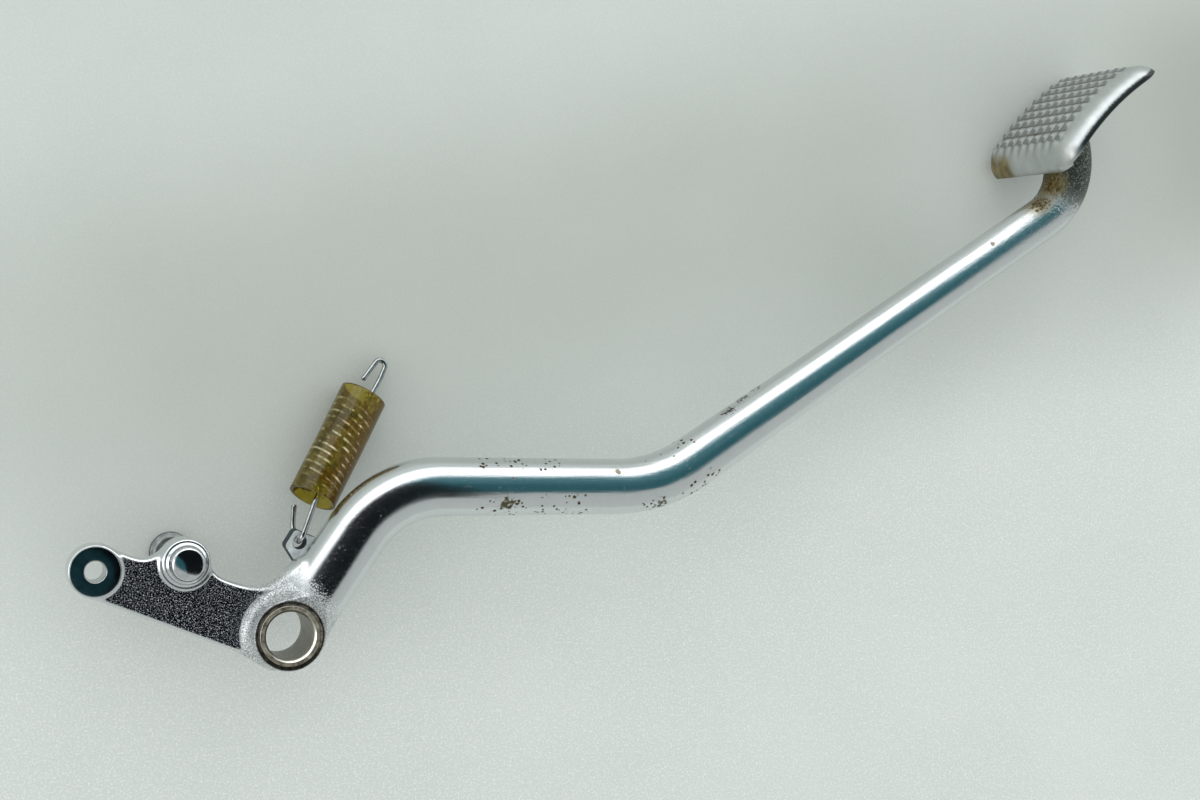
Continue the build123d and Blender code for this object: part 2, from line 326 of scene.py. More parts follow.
def disc(p, centre, radius, half, edge):
    """An upright disc with rounded edges."""
    return slab(length2(p[:, 0] - centre[0], p[:, 1] - centre[1]) - radius, p[:, 2], half, edge)


def outline_distance(x, y, outline):
    """Signed distance to a closed outline, negative inside."""
    best = np.full(x.shape, 1e9)
    inside = np.zeros(x.shape, bool)
    for (ax, ay), (bx, by) in zip(outline[-1:] + outline[:-1], outline):
        ex, ey = bx - ax, by - ay
        t = np.clip(((x - ax) * ex + (y - ay) * ey) / (ex * ex + ey * ey), 0, 1)
        best = np.minimum(best, length2(x - ax - t * ex, y - ay - t * ey))
        if ay != by:
            inside ^= ((y < ay) != (y < by)) & (x < ax + (y - ay) * ex / ey)
    return np.where(inside, -best, best)


def curve(points, count=14):
    """A smooth curve through points."""
    p = [np.array(q, float) for q in points]
    p = [2 * p[0] - p[1]] + p + [2 * p[-1] - p[-2]]
    out = []
    for i in range(1, len(p) - 2):
        a = 2 * p[i]
        b = p[i + 1] - p[i - 1]
        c = 2 * p[i - 1] - 5 * p[i] + 4 * p[i + 1] - p[i + 2]
        d = -p[i - 1] + 3 * p[i] - 3 * p[i + 1] + p[i + 2]
        for t in np.arange(count) / count:
            out.append(tuple(0.5 * (a + b * t + c * t * t + d * t ** 3)))
    out.append(tuple(p[-2]))
    return out


def smooth_step(low, high, x):
    t = np.clip((x - low) / (high - low), 0, 1)
    return t * t * (3 - 2 * t)


# ---------------------------------------------------------------- node tools
class Nodes:
    """A small helper that adds nodes to one tree. An input is a socket, a number or a colour."""

    def __init__(self, tree):
        self.tree = tree

    def add(self, kind, **values):
        node = self.tree.nodes.new(kind)
        for key, value in values.items():
            setattr(node, key, value)
        return node

    def link(self, source, target):
        if isinstance(source, (int, float)):
            target.default_value = source
        elif isinstance(source, tuple):
            target.default_value = source if len(source) == len(target.default_value) else (*source, 1)
        else:
            self.tree.links.new(source, target)

    def math(self, operation, a, b=0.0, clamp=False):
        node = self.add("ShaderNodeMath", operation=operation, use_clamp=clamp)
        self.link(a, node.inputs[0])
        self.link(b, node.inputs[1])
        return node.outputs[0]

    def chain(self, operation, values):
        """One operation over several values, from the first to the last."""
        result = values[0]
        for value in values[1:]:
            result = self.math(operation, result, value)
        return result

    def times(self, *values):
        return self.chain("MULTIPLY", values)

    def plus(self, *values):
        return self.chain("ADD", values)

    def most(self, *values):
        return self.chain("MAXIMUM", values)

    def minus(self, a, b):
        return self.math("SUBTRACT", a, b)

    def inverse(self, a):
        return self.math("SUBTRACT", 1.0, a)

    def size(self, a):
        return self.math("ABSOLUTE", a)

    def step(self, source, low, high):
        """0 below low, 1 above high, smooth between them."""
        node = self.add("ShaderNodeMapRange", interpolation_type="SMOOTHSTEP")
        self.link(source, node.inputs["Value"])
        node.inputs["From Min"].default_value = low
        node.inputs["From Max"].default_value = high
        return node.outputs["Result"]

    def fall(self, source, low, high):
        """1 below low, 0 above high, smooth between them."""
        return self.inverse(self.step(source, low, high))

    def mix(self, factor, a, b):
        """From one colour to another."""
        node = self.add("ShaderNodeMix", data_type="RGBA")
        for value, socket in zip((factor, a, b), (0, 6, 7)):
            self.link(value, node.inputs[socket])
        return node.outputs[2]

    def layers(self, colour, *layers):
        """A colour with layers laid over it, each given as how much it covers and its colour."""
        for cover, layer in layers:
            colour = self.mix(cover, colour, layer)
        return colour

    def blend(self, factor, a, b):
        """From one number to another."""
        node = self.add("ShaderNodeMix", data_type="FLOAT")
        for value, socket in zip((factor, a, b), (0, 2, 3)):
            self.link(value, node.inputs[socket])
        return node.outputs[0]

    def dot(self, vector, direction):
        node = self.add("ShaderNodeVectorMath", operation="DOT_PRODUCT")
        self.link(vector, node.inputs[0])
        node.inputs[1].default_value = direction
        return node.outputs["Value"]


class Shader(Nodes):
    """One material made of noise and of places on the part."""

    def __init__(self, name):
        self.material = bpy.data.materials.new(name)
        self.material.use_nodes = True
        super().__init__(self.material.node_tree)
        self.bsdf = self.tree.nodes["Principled BSDF"]
        self.coords = self.add("ShaderNodeTexCoord").outputs["Object"]

    def noise(self, scale, detail=4.0, rough=0.55, where=None):
        """Noise whose features are about this many millimetres across."""
        node = self.add("ShaderNodeTexNoise")
        node.inputs["Scale"].default_value = 1000.0 / scale
        node.inputs["Detail"].default_value = detail
        node.inputs["Roughness"].default_value = rough
        self.link(where or self.coords, node.inputs["Vector"])
        return node.outputs["Fac"]

    def streaks(self, scale, detail, rough, angle, longer):
        """Noise drawn out along a direction in the drawing's plane."""
        node = self.add("ShaderNodeMapping", vector_type="TEXTURE")
        self.link(self.coords, node.inputs["Vector"])
        node.inputs["Rotation"].default_value = (0.0, 0.0, angle)
        node.inputs["Scale"].default_value = (longer, 1.0, 1.0)
        return self.noise(scale, detail, rough, node.outputs["Vector"])

    def cells(self, scale):
        """The distance to the nearest of points strewn about this many millimetres apart."""
        node = self.add("ShaderNodeTexVoronoi")
        node.inputs["Scale"].default_value = 1000.0 / scale
        self.link(self.coords, node.inputs["Vector"])
        return node.outputs["Distance"]

    def between(self, patch, low, high):
        """From one colour to the other over the middle of a noise."""
        return self.ramp(patch, (0.3, low), (0.7, high))

    def ramp(self, source, *stops):
        """A colour or grey for each range of a value, from stops of (value, colour)."""
        node = self.add("ShaderNodeValToRGB")
        elements = node.color_ramp.elements
        while len(elements) < len(stops):
            elements.new(0.5)
        for element, (place, colour) in zip(elements, stops):
            element.position = place
            element.color = (*colour, 1)
        self.link(source, node.inputs["Fac"])
        return node.outputs["Color"]

    def place(self, axis):
        """One coordinate of the surface point, in millimetres."""
        node = self.add("ShaderNodeSeparateXYZ")
        self.link(self.coords, node.inputs[0])
        return self.times(node.outputs[axis], 1000.0)

    def place_along(self, origin, direction):
        """How far the surface point lies from an origin along a direction, in millimetres."""
        place = self.dot(self.coords, [1000.0 * c for c in direction])
        return self.minus(place, float(np.dot(origin, direction)))

    def phase(self, place, start, pitch):
        """Where a place lies within its repeat, from 0 to 1."""
        return self.math("FRACT", self.math("DIVIDE", self.minus(place, start), pitch))

    def near(self, point, low, high):
        """1 within low millimetres of a point, 0 beyond high."""
        node = self.add("ShaderNodeVectorMath", operation="DISTANCE")
        self.link(self.coords, node.inputs[0])
        node.inputs[1].default_value = [c * 0.001 for c in point]
        return self.fall(self.times(node.outputs["Value"], 1000.0), low, high)

    def patches(self, *places):
        """Near any of several points, each given as x, y, z, low and high."""
        return self.most(*[self.near(place[:3], *place[3:]) for place in places])

    def speckled(self, zone, noise, amount, low, high):
        """A zone whose edge breaks up into specks."""
        return self.step(self.plus(zone, self.times(self.minus(noise, 0.5), amount)), low, high)

    def facing(self, direction):
        """How far the surface faces a direction, from -1 to 1."""
        return self.dot(self.add("ShaderNodeNewGeometry").outputs["Normal"], direction)

    def bump(self, height, strength, distance):
        node = self.add("ShaderNodeBump")
        node.inputs["Strength"].default_value = strength
        node.inputs["Distance"].default_value = distance * 0.001
        self.link(height, node.inputs["Height"])
        self.link(node.outputs["Normal"], self.bsdf.inputs["Normal"])

    def finish(self, colour, roughness, metallic=1.0):
        self.link(colour, self.bsdf.inputs["Base Color"])
        self.link(roughness, self.bsdf.inputs["Roughness"])
        self.link(metallic, self.bsdf.inputs["Metallic"])
        return self.material


# ---------------------------------------------------------------- materials
def forging_material():
    """Old chrome: bright on the round arm, rusty on the neck; on the lever's flat faces grainy, near black
    as a painted dark reflection, with painted white glints.
    """
    s = Shader("old_chrome")
    x, z = s.place(0), s.place(2)
    up = s.size(s.facing((0, 0, 1)))
    fine = s.noise(0.42, 3, 0.8)
    # the lever's faces: a fine near-black grain, a painted dark reflection, full of painted bright glints
    face = s.times(s.fall(x, -2, 7), s.step(up, 0.86, 0.985), s.fall(s.size(z), 3.05, 3.55))
    face = s.speckled(face, fine, 1.6, 0.3, 0.7)
    specks = s.noise(0.38, 3, 0.85)
    painted_reflection_and_glints = s.ramp(specks, (0.5, (0.004, 0.008, 0.014)), (0.565, (0.014, 0.021, 0.034)),
                          (0.595, (0.42, 0.46, 0.53)), (0.64, (1, 1, 1)))
    painted_glints = s.times(face, s.step(specks, 0.565, 0.605))
    # satin skin round the boss, breaking up into specks where the arm begins
    satin = s.speckled(s.near((0, 1, 0), 12.5, 21), fine, 2.6, 0.3, 0.76)
    # rust specks in groups along the middle of the arm
    group = s.patches(*[(*place, 4.5, 0.5, 8) for place in RUST_GROUPS])
    group = s.most(group, s.times(s.near((121, 53.5, 1), 4, 18), 0.5))
    speck_size = s.blend(s.noise(4, 2, 0.5), 0.02, 0.6)
    pit = s.math("SUBTRACT", 1, s.math("DIVIDE", s.cells(1.8), speck_size), clamp=True)
    pit = s.step(s.times(pit, s.speckled(group, s.noise(2.6, 3, 0.6), 2.2, 0.38, 0.7)), 0.03, 0.22)
    flakes = s.patches((138.5, 62.8, 2.5, 0.5, 5.5), (143.5, 66.2, 1, 0.5, 5.5),
                       (148.5, 69.6, 0, 0.5, 4.5))
    flakes = s.speckled(flakes, s.noise(1.1, 5, 0.8), 4.2, 0.8, 0.98)
    spot = s.patches((229.5, 114.8, 6, 0.4, 1.7), (101, 44.6, 7, 0.4, 1.7))
    spot = s.speckled(spot, fine, 2, 0.45, 0.8)
    olive_spot = s.patches((115, 35.3, 4.5, 0.5, 5), (66, 36, 6.6, 0.8, 4.6))
    olive_spot = s.speckled(olive_spot, s.noise(1.2, 4, 0.75), 3.6, 0.66, 0.76)
    # the neck is dull and mottled, browner inside the bend
    mottle = s.noise(0.75, 5, 0.8)
    neck = s.speckled(s.near((262, 146, 0), 9, 31), mottle, 2.2, 0.34, 0.66)
    inner = s.patches((247, 128.5, 4.5, 1, 8), (251.5, 134.5, 4, 1, 8),
                      (253, 141.5, 2.5, 1, 7))
    rust = s.speckled(inner, s.noise(1, 5, 0.8), 3.4, 0.74, 0.9)
    rust = s.most(rust, s.times(neck, s.step(s.noise(1.1, 4, 0.7), 0.62, 0.7)))
    # fine wear everywhere: tiny dull pin holes
    wear = s.step(s.noise(0.7, 2, 0.7), 0.66, 0.74)
    olive = s.ramp(mottle, (0.43, (0.012, 0.015, 0.01)), (0.52, (0.06, 0.074, 0.06)),
                   (0.64, (0.28, 0.32, 0.29)))
    tone = s.noise(0.8, 3, 0.6)
    colour = s.layers(
        s.mix(s.noise(9, 4, 0.6), (0.66, 0.69, 0.7), (0.76, 0.78, 0.79)),
        (s.times(wear, 0.45), (0.34, 0.34, 0.33)),
        (satin, s.ramp(fine, (0.4, (0.13, 0.14, 0.15)), (0.6, (0.82, 0.85, 0.85)))),
        (face, painted_reflection_and_glints),
        (neck, olive),
        (s.times(inner, 0.7), (0.4, 0.32, 0.12)),
        (rust, s.ramp(tone, (0.35, (0.024, 0.016, 0.006)), (0.7, (0.19, 0.125, 0.032)))),
        (pit, s.ramp(tone, (0.35, (0.016, 0.013, 0.006)), (0.7, (0.105, 0.075, 0.022)))),
        (flakes, (0.03, 0.024, 0.016)),
        (s.times(spot, 0.8), (0.3, 0.22, 0.1)),
        (olive_spot, (0.062, 0.056, 0.02)))
    stain = s.most(pit, rust, flakes, spot, olive_spot)
    rough = s.blend(neck, s.blend(satin, s.blend(face, 0.17, 0.4), 0.34), 0.42)
    rough = s.blend(stain, rough, 0.8)
    # painted glints: the bright specks lose most of their metal so they stay white
    dull = s.most(s.times(painted_glints, 0.75), s.times(satin, 0.5), s.times(neck, 0.55), s.times(stain, 0.95))
    # grain on the lever, streaks drawn along the two long runs, peeling plate before the neck
    grain = s.times(fine, s.most(face, s.times(satin, 0.5), 0.14))
    peeling = s.blend(s.step(x, 195, 245), s.blend(s.step(x, 90, 135), 0.16, 0.42), 1.2)
    peel = s.times(s.noise(0.8, 4, 0.75), peeling)
    run_x, run_y = np.subtract(ARM_CORNERS[2], ARM_CORNERS[1])
    drawn = [s.streaks(1.3, 3, 0.6, angle, 30) for angle in (0, float(np.arctan2(run_y, run_x)))]
    drawn = s.blend(s.step(x, 112, 126), *drawn)
    drawn = s.times(drawn, s.blend(s.step(x, 45, 60), 0, 0.7))
    height = s.plus(grain, peel, drawn, s.times(mottle, neck, 0.9))
    s.bump(s.minus(height, s.times(s.most(pit, flakes), 0.2)), 0.6, 0.15)
    return s.finish(colour, rough, s.inverse(dull))


def wire_material():
    """Zinc gone grey."""
    s = Shader("zinc_wire")
    colour = s.between(s.noise(1.2, 5, 0.65), (0.28, 0.29, 0.29), (0.54, 0.54, 0.53))
    s.bump(s.noise(0.144, 3, 0.6), 0.4, 0.04)
    return s.finish(colour, s.blend(s.noise(0.48, 4, 0.6), 0.1, 0.2))


def eye_material():
    """The rod eye: a smooth face painted dark teal as a reflection, inside a thin pale rim."""
    s = Shader("eye_chrome")
    smear = s.noise(2.5, 5, 0.6)
    # painted reflection: the flat faces take a dark teal-tinted colour, the sides a pale one
    face = s.between(smear, (0.1, 0.13, 0.14), (0.19, 0.23, 0.24))
    colour = s.mix(s.step(s.size(s.facing((0, 0, 1))), 0.9, 0.99), (0.42, 0.44, 0.44), face)
    s.bump(s.noise(0.6, 3, 0.5), 0.15, 0.02)
    return s.finish(colour, s.blend(smear, 0.14, 0.24))


def pin_material():
    """The pressed pin: bright plating on the dome; the stem and flat head below the lever are darker and
    rougher.
    """
    s = Shader("pin_plate")
    patch = s.noise(2.5, 5, 0.65)
    under = s.fall(s.place(2), -5.5, -4.5)
    plated = s.between(patch, (0.58, 0.6, 0.61), (0.76, 0.77, 0.78))
    plain = s.between(patch, (0.1, 0.11, 0.11), (0.3, 0.32, 0.31))
    s.bump(s.noise(0.5, 3, 0.6), 0.4, 0.03)
    return s.finish(s.mix(under, plated, plain), s.blend(under, s.blend(patch, 0.09, 0.16), 0.34))


def boss_material():
    """The boss's ring: a dark stained rim, and a paler inside edge away from the lever's lower side."""
    s = Shader("boss_steel")
    x, y = s.place(0), s.place(1)
    stain = s.noise(1.6, 6, 0.75)
    rim = s.ramp(stain, (0.42, (0.008, 0.007, 0.006)), (0.66, (0.07, 0.062, 0.05)))
    face = s.ramp(stain, (0.38, (0.05, 0.044, 0.032)), (0.6, (0.3, 0.28, 0.225)))
    inside = s.fall(s.math("SQRT", s.plus(s.times(x, x), s.times(y, y))), 9.2, 9.6)
    upper = s.step(s.plus(y, s.times(stain, 9)), -3, 6)
    s.bump(s.noise(0.35, 3, 0.6), 0.3, 0.05)
    return s.finish(s.mix(s.times(inside, upper), rim, face), s.blend(stain, 0.38, 0.6), 0.8)


def bush_material():
    """A steel bush gone beige, with a stained face, a stained bore darkened as painted shade, and a polished
    step round the bore that carries a painted highlight and painted shade.
    """
    s = Shader("bush_steel")
    up = s.size(s.facing((0, 0, 1)))
    stain = s.noise(2.4, 6, 0.75)
    face = s.ramp(stain, (0.36, (0.07, 0.062, 0.045)), (0.5, (0.26, 0.24, 0.19)), (0.66, (0.46, 0.43, 0.36)))
    # the bore's stained colour is kept dark: painted shade inside the hole
    bore = s.between(stain, (0.17, 0.16, 0.12), (0.31, 0.295, 0.24))
    inner = s.fall(up, 0.75, 0.97)
    polished = s.times(inner, s.step(up, 0.1, 0.35))
    # painted highlight and painted shade: the polished step is bright where it faces (-0.6, 0.6, 0.53) and
    # dark where it faces away
    painted_highlight_and_shade = s.ramp(s.facing((-0.6, 0.6, 0.53)), (0.3, (0.22, 0.205, 0.16)), (0.8, (0.88, 0.86, 0.78)))
    colour = s.mix(polished, s.mix(inner, face, bore), painted_highlight_and_shade)
    s.bump(s.noise(0.4, 3, 0.6), 0.3, 0.05)
    return s.finish(colour, s.blend(polished, s.blend(stain, 0.42, 0.3), 0.22), s.blend(polished, 0.45, 0.9))


def pad_material():
    """Worn satin plate: grime and painted shade between the pyramids, painted shade under one edge of the
    rim, a brown stain at one corner.
    """
    s = Shader("pad_chrome")
    z = s.place(2)
    chord = s.place_along((*PAD_MIDDLE, 0), (*PAD_ALONG, 0))
    out = s.place_along((*PAD_MIDDLE, 0), (*PAD_OUT, 0))
    on_top = s.step(s.facing((*PAD_OUT, 0)), -0.1, 0.15)
    stain = s.noise(5, 5, 0.6)
    speck = s.noise(0.9, 4, 0.7)
    colour = s.between(stain, (0.47, 0.49, 0.48), (0.58, 0.6, 0.59))
    colour = s.mix(s.times(s.step(speck, 0.56, 0.75), 0.5), colour, (0.34, 0.34, 0.32))
    # grime and painted shade darken the grooves and between the flutes; the pyramids' steep sides carry
    # painted shade
    row = s.phase(chord, TREAD_FIRST_ROW - 10 * TREAD_ROW, TREAD_ROW)
    column = s.phase(z, TREAD_FIRST_COLUMN - TREAD_COLUMN, TREAD_COLUMN)
    from_row, from_column = [s.math("MINIMUM", part, s.inverse(part)) for part in (row, column)]
    groove = s.fall(s.math("MINIMUM", from_row, from_column), 0.02, 0.2)
    steep = s.times(s.fall(row, 0.3, 0.46), s.step(from_column, 0.1, 0.3))
    inside = s.times(s.step(chord, TREAD_FIRST_ROW - 0.4, TREAD_FIRST_ROW + 0.4), s.fall(chord, 19.6, 20.6),
                     s.fall(z, 17.5, 20), on_top)
    fluted = s.times(on_top, s.step(chord, -21.5, -17.5), s.fall(from_column, 0, 0.34), 0.6,
                     s.fall(z, 15, 20))
    dirt_and_painted_shade = s.most(s.times(s.most(s.times(groove, 0.88), s.times(steep, 0.66)), inside), fluted)
    colour = s.mix(dirt_and_painted_shade, colour, (0.1, 0.105, 0.1))
    corner = s.patches((245, 139.5, -24, 2, 13), (246, 139, -14, 0, 11))
    corner = s.times(s.speckled(s.times(corner, s.fall(chord, -20.5, -16)), stain, 0.5, 0.1, 0.9), 0.9)
    brown = s.ramp(s.noise(3, 4, 0.6), (0.35, (0.14, 0.095, 0.02)), (0.65, (0.31, 0.235, 0.08)))
    colour = s.mix(corner, colour, brown)
    # painted shade: one edge of the rim and the hollow under the pad are painted near black
    ceiling = s.minus(s.math("SQRT", s.minus(PAD_CROWN_R ** 2, s.times(chord, chord))), PAD_CROWN_R)
    under = s.fall(s.plus(s.minus(out, ceiling), s.times(speck, 1.2)), 2.4, 3.2)
    under = s.times(under, s.step(z, 14, 23), s.step(chord, -20, -14))
    colour = s.mix(s.times(under, 0.92), colour, (0.02, 0.021, 0.022))
    rough = s.blend(s.most(corner, dirt_and_painted_shade), s.blend(speck, 0.3, 0.44), 0.5)
    s.bump(speck, 0.25, 0.04)
    return s.finish(colour, rough, s.minus(0.92, s.times(dirt_and_painted_shade, 0.5)))


def weld_material():
    """Scaly brown weld metal."""
    s = Shader("weld_metal")
    patch = s.noise(1.6, 5, 0.7)
    colour = s.ramp(patch, (0.3, (0.03, 0.024, 0.014)), (0.55, (0.17, 0.14, 0.09)),
                    (0.75, (0.34, 0.32, 0.27)))
    s.bump(s.noise(0.7, 4, 0.7), 0.6, 0.2)
    return s.finish(colour, s.blend(patch, 0.65, 0.35), 0.85)


def lug_material():
    """Satin plate with painted shade on its edges and underside."""
    s = Shader("lug_chrome")
    patch = s.noise(1.8, 5, 0.7)
    colour = s.between(patch, (0.5, 0.55, 0.55), (0.74, 0.78, 0.78))
    # painted shade: every face that does not face up is darkened
    edge = s.fall(s.facing((0, 0, 1)), 0.6, 0.94)
    colour = s.mix(edge, colour, (0.03, 0.045, 0.05))
    s.bump(s.noise(0.6, 3, 0.6), 0.4, 0.06)
    return s.finish(colour, s.blend(edge, s.blend(patch, 0.28, 0.42), 0.5), 0.35)


def sleeve_material():
    """Clear vinyl tube gone yellow: brown grime, browner on the side facing the arm, and pale rings over the
    coils painted as highlights where the coils press on it.
    """
    s = Shader("yellowed_vinyl")
    along, beside, _ = spring_axes()
    place = s.place_along(spring_point(0, 0, 0), along + 0.22 * beside)
    # how far the surface faces the arm: that side is made browner and darker
    facing_arm = s.facing((0.86, -0.51, 0))
    cloud = s.noise(6, 5, 0.65)
    fine = s.noise(1.3, 5, 0.75)
    colour = s.between(cloud, (0.42, 0.31, 0.022), (0.76, 0.64, 0.12))
    amber = s.step(s.plus(s.noise(14, 3, 0.5), s.times(facing_arm, 0.1)), 0.46, 0.62)
    colour = s.mix(s.times(amber, 0.75), colour, (0.52, 0.27, 0.018))
    coiled = s.times(s.step(place, COIL_START - 1, COIL_START + 3), s.fall(place, 42, 45.5))
    grime = s.plus(s.times(cloud, 0.62), s.times(fine, 0.38), s.times(facing_arm, 0.1), s.times(coiled, 0.04))
    grime = s.step(grime, 0.5, 0.565)
    colour = s.mix(s.times(grime, 0.94), colour, (0.095, 0.05, 0.004))
    # painted highlight: pale rings at the coil pitch, laid in the colour on the side away from the arm; the
    # bump gives them a ridge
    ring = s.fall(s.size(s.minus(s.phase(place, 0, COIL_PITCH), 0.5)), 0.06, 0.2)
    ring = s.times(ring, coiled, s.step(s.noise(3.2, 3, 0.6), 0.4, 0.62), s.fall(facing_arm, 0.25, 0.8))
    colour = s.mix(s.times(ring, 0.8), colour, (0.86, 0.81, 0.55))
    clear = s.minus(s.blend(grime, 0.92, 0.4), s.times(ring, 0.3))
    s.link(clear, s.bsdf.inputs["Transmission Weight"])
    s.bsdf.inputs["IOR"].default_value = 1.38
    s.bump(s.plus(s.times(fine, 0.4), ring), 0.25, 0.08)
    return s.finish(colour, s.blend(grime, 0.04, 0.16), 0)


# ---------------------------------------------------------------- arm
def arm_path():
    """The arm's centre line as dense points with the distance along it."""
    top = ARM_CORNERS[-1] + NECK_LENGTH * NECK_WAY
    points = np.array(bent_path([ARM_START, *ARM_CORNERS, top], ARM_BENDS, 40))
    return points, lengths_along(points)


ARM_POINTS, ARM_ALONG = arm_path()
ARM_END = ARM_ALONG[-1]
SEAM = 34.0                # the arm's own tube starts here; before it the arm blends into the boss
# distance along the arm and radius there
ARM_RADII = ((0, 9.6), (30, 9.4), (55, 9.0), (75, 8.7), (110, 8.5), (150, 8.3), (185, 7.7),
             (215, 7.35), (260, 7.0), (294, 6.95), (ARM_END - 26, 7.2), (ARM_END - 12, 8.0), (ARM_END, 8.9))


def arm_radius(along):
    """Radius of the arm: straight lines between the stations, smoothed."""
    fine = np.linspace(0, ARM_END, 1200)
    values = np.interp(fine, *np.transpose(ARM_RADII))
    kernel = np.hanning(61)
    padded = np.pad(values, len(kernel) // 2, mode="edge")
    return np.interp(along, fine, np.convolve(padded, kernel / kernel.sum(), mode="valid"))


def arm_point(along):
    """The arm's centre at distances along it."""
    return np.stack([np.interp(along, ARM_ALONG, ARM_POINTS[:, axis]) for axis in (0, 1)], 1)


def arm_tube():
    """The arm from the seam to inside the pad."""
    segments = 64
    turns = round_turn(segments)
    stations = np.append(np.arange(SEAM - 1.5, ARM_END, 1.0), ARM_END)
    ahead = arm_point(stations + 0.5) - arm_point(stations - 0.5)
    ahead /= np.linalg.norm(ahead, axis=1, keepdims=True)
    radius = arm_radius(stations)
    radius[stations < SEAM] -= 0.06
    points, normals = [], []
    for centre, (x, y), size in zip(arm_point(stations), ahead, radius):
        ring = np.outer(np.cos(turns), [-y, x, 0]) + np.outer(np.sin(turns), [0, 0, 1])
        points.append(ring * size + [*centre, 0])
        normals.append(ring)
    points = np.concatenate(points)
    # the neck ends inside the pad's plate, wherever the plate is reached
    from_middle = points[:, :2] - PAD_MIDDLE
    chord, height = from_middle @ PAD_ALONG, from_middle @ PAD_OUT
    near_pad = 30.0
    plate = crown(np.clip(chord, -near_pad, near_pad)) + PAD_HEIGHT - 0.5 * PAD_THICKNESS
    over = np.where(np.abs(chord) > near_pad, 0, np.maximum(height - plate, 0))
    points[:, :2] -= np.outer(over / (NECK_WAY @ PAD_OUT), NECK_WAY)
    return points, tube_faces(len(stations), segments), np.concatenate(normals)


# ---------------------------------------------------------------- lever and boss
def lever_outline():
    """The lever seen along the pivot."""
    apart = np.hypot(*EYE)
    lean = np.arctan2(-EYE[1], -EYE[0]) - np.arcsin((BOSS_R - EYE_R) / apart)
    eye_low = (EYE[0] + EYE_R * sin(lean), EYE[1] - EYE_R * cos(lean))
    boss_low = (BOSS_R * sin(lean), -BOSS_R * cos(lean))
    top = curve([(4.5, 20.0), (-6.0, 13.7), (-17.5, 16.3), (PIN[0] + 6.4, PIN[1] - 0.8)])
    dip = curve([(PIN[0] - 5.6, PIN[1] + 3.4), (-41.0, 23.1), (EYE[0] + 2.5, EYE[1] + 7.2)])
    return [eye_low, boss_low, (6.0, 0.0), *top, *dip, (EYE[0] - 2, EYE[1])]


LEVER_OUTLINE = lever_outline()
RUN_1 = unit(np.subtract(ARM_CORNERS[0], ARM_START))


def on_first_run(p):
    """Distances along and across the first straight run of the arm."""
    x, y = p[:, 0] - ARM_START[0], p[:, 1] - ARM_START[1]
    return x * RUN_1[0] + y * RUN_1[1], y * RUN_1[0] - x * RUN_1[1]


def root_distance(p):
    """Distance to the first straight run of the arm."""
    along, across = on_first_run(p)
    start = np.maximum(along, 2.0)
    return np.sqrt(across ** 2 + p[:, 2] ** 2 + (along - start) ** 2) - arm_radius(start)


def forging_distance(p):
    """Lever, boss flare and the arm's root as one smooth forging, with both rings' seats cut out."""
    from_pivot = length2(p[:, 0], p[:, 1])
    from_eye = length2(p[:, 0] - EYE[0], p[:, 1] - EYE[1])
    body = slab(outline_distance(p[:, 0], p[:, 1], LEVER_OUTLINE), p[:, 2], 3.0, 1.6)
    body = fillet_union(body, disc(p, EYE, EYE_R, 3.65, 0.8), 1.2)
    body = fillet_union(body, disc(p, PIN, SEAT_R, 4.8, 0.9), 2.0)
    body = fillet_union(body, disc(p, (0, 0), BOSS_R + 0.35, 9.1, 0.5), 4.6)
    body = fillet_union(body, root_distance(p), 4.0)
    # nothing near the boss stands above its machined collar
    body = np.maximum(body, np.abs(p[:, 2]) - np.where(from_pivot < 16, 9.35, 9.8))
    body = np.maximum(body, BOSS_R - 0.25 - from_pivot)
    return np.maximum(body, 5.0 - from_eye)


def forging(material):
    points, quads, normals = surface_net(forging_distance, (-63.5, -12.5, -10.6), (31.5, 40.5, 10.6), 0.5)
    along, _ = on_first_run(points)
    before_seam = along[quads].mean(1) < SEAM + 0.2
    points, quads, normals = drop_loose(points, quads[before_seam], normals)
    tube_points, faces, tube_normals = arm_tube()
    faces = quads.tolist() + [tuple(i + len(points) for i in face) for face in faces]
    points = np.concatenate([points, tube_points])
    normals = np.concatenate([normals, tube_normals])
    return make_piece("pedal_forging", points, faces, "pedal", material,
                      ("brake_lever", "pedal_arm"), normals)


def turned_ring(name, outline, edge, steps, material, replaces=(), centre=(0, 0, 0), segments=128):
    """A ring of the pedal, turned from a closed outline of (radius, height) with rounded corners."""
    points, faces = lathe(rounded(outline, edge, steps), centre, segments, loop=True)
    return make_piece(name, points, faces, "pedal", material, replaces)


def boss_ring(material):
    outline = [(BUSH_R + 0.02, 9.95), (BUSH_R + 0.02, -9.95), (BOSS_R, -9.95), (BOSS_R, 9.95)]
    return turned_ring("boss_ring", outline, 0.7, 6, material, ("pivot_boss",))


def bush(material):
    outline = [(BORE_R, 9.35), (BORE_R, -9.35), (BORE_R + 0.6, -9.95), (BORE_R + 0.85, -10.0),
               (BUSH_R - 0.1, -10.0), (BUSH_R, -9.9), (BUSH_R, 9.9), (BUSH_R - 0.1, 10.0),
               (BORE_R + 0.85, 10.0), (BORE_R + 0.6, 9.95)]
    return turned_ring("bush_ring", outline, 0.12, 3, material, ("pivot_bush",))


def rod_eye(material):
    hole = EYE_HOLE_R - 0.1
    outline = [(hole, 3.75), (hole, -3.75), (hole + 0.25, -4.0), (EYE_R - 0.5, -4.0),
               (EYE_R - 0.3, -3.3), (EYE_R - 0.3, 3.3), (EYE_R - 0.5, 4.0), (hole + 0.25, 4.0)]
    return turned_ring("rod_eye", outline, 0.25, 4, material, (), (*EYE, 0), 96)


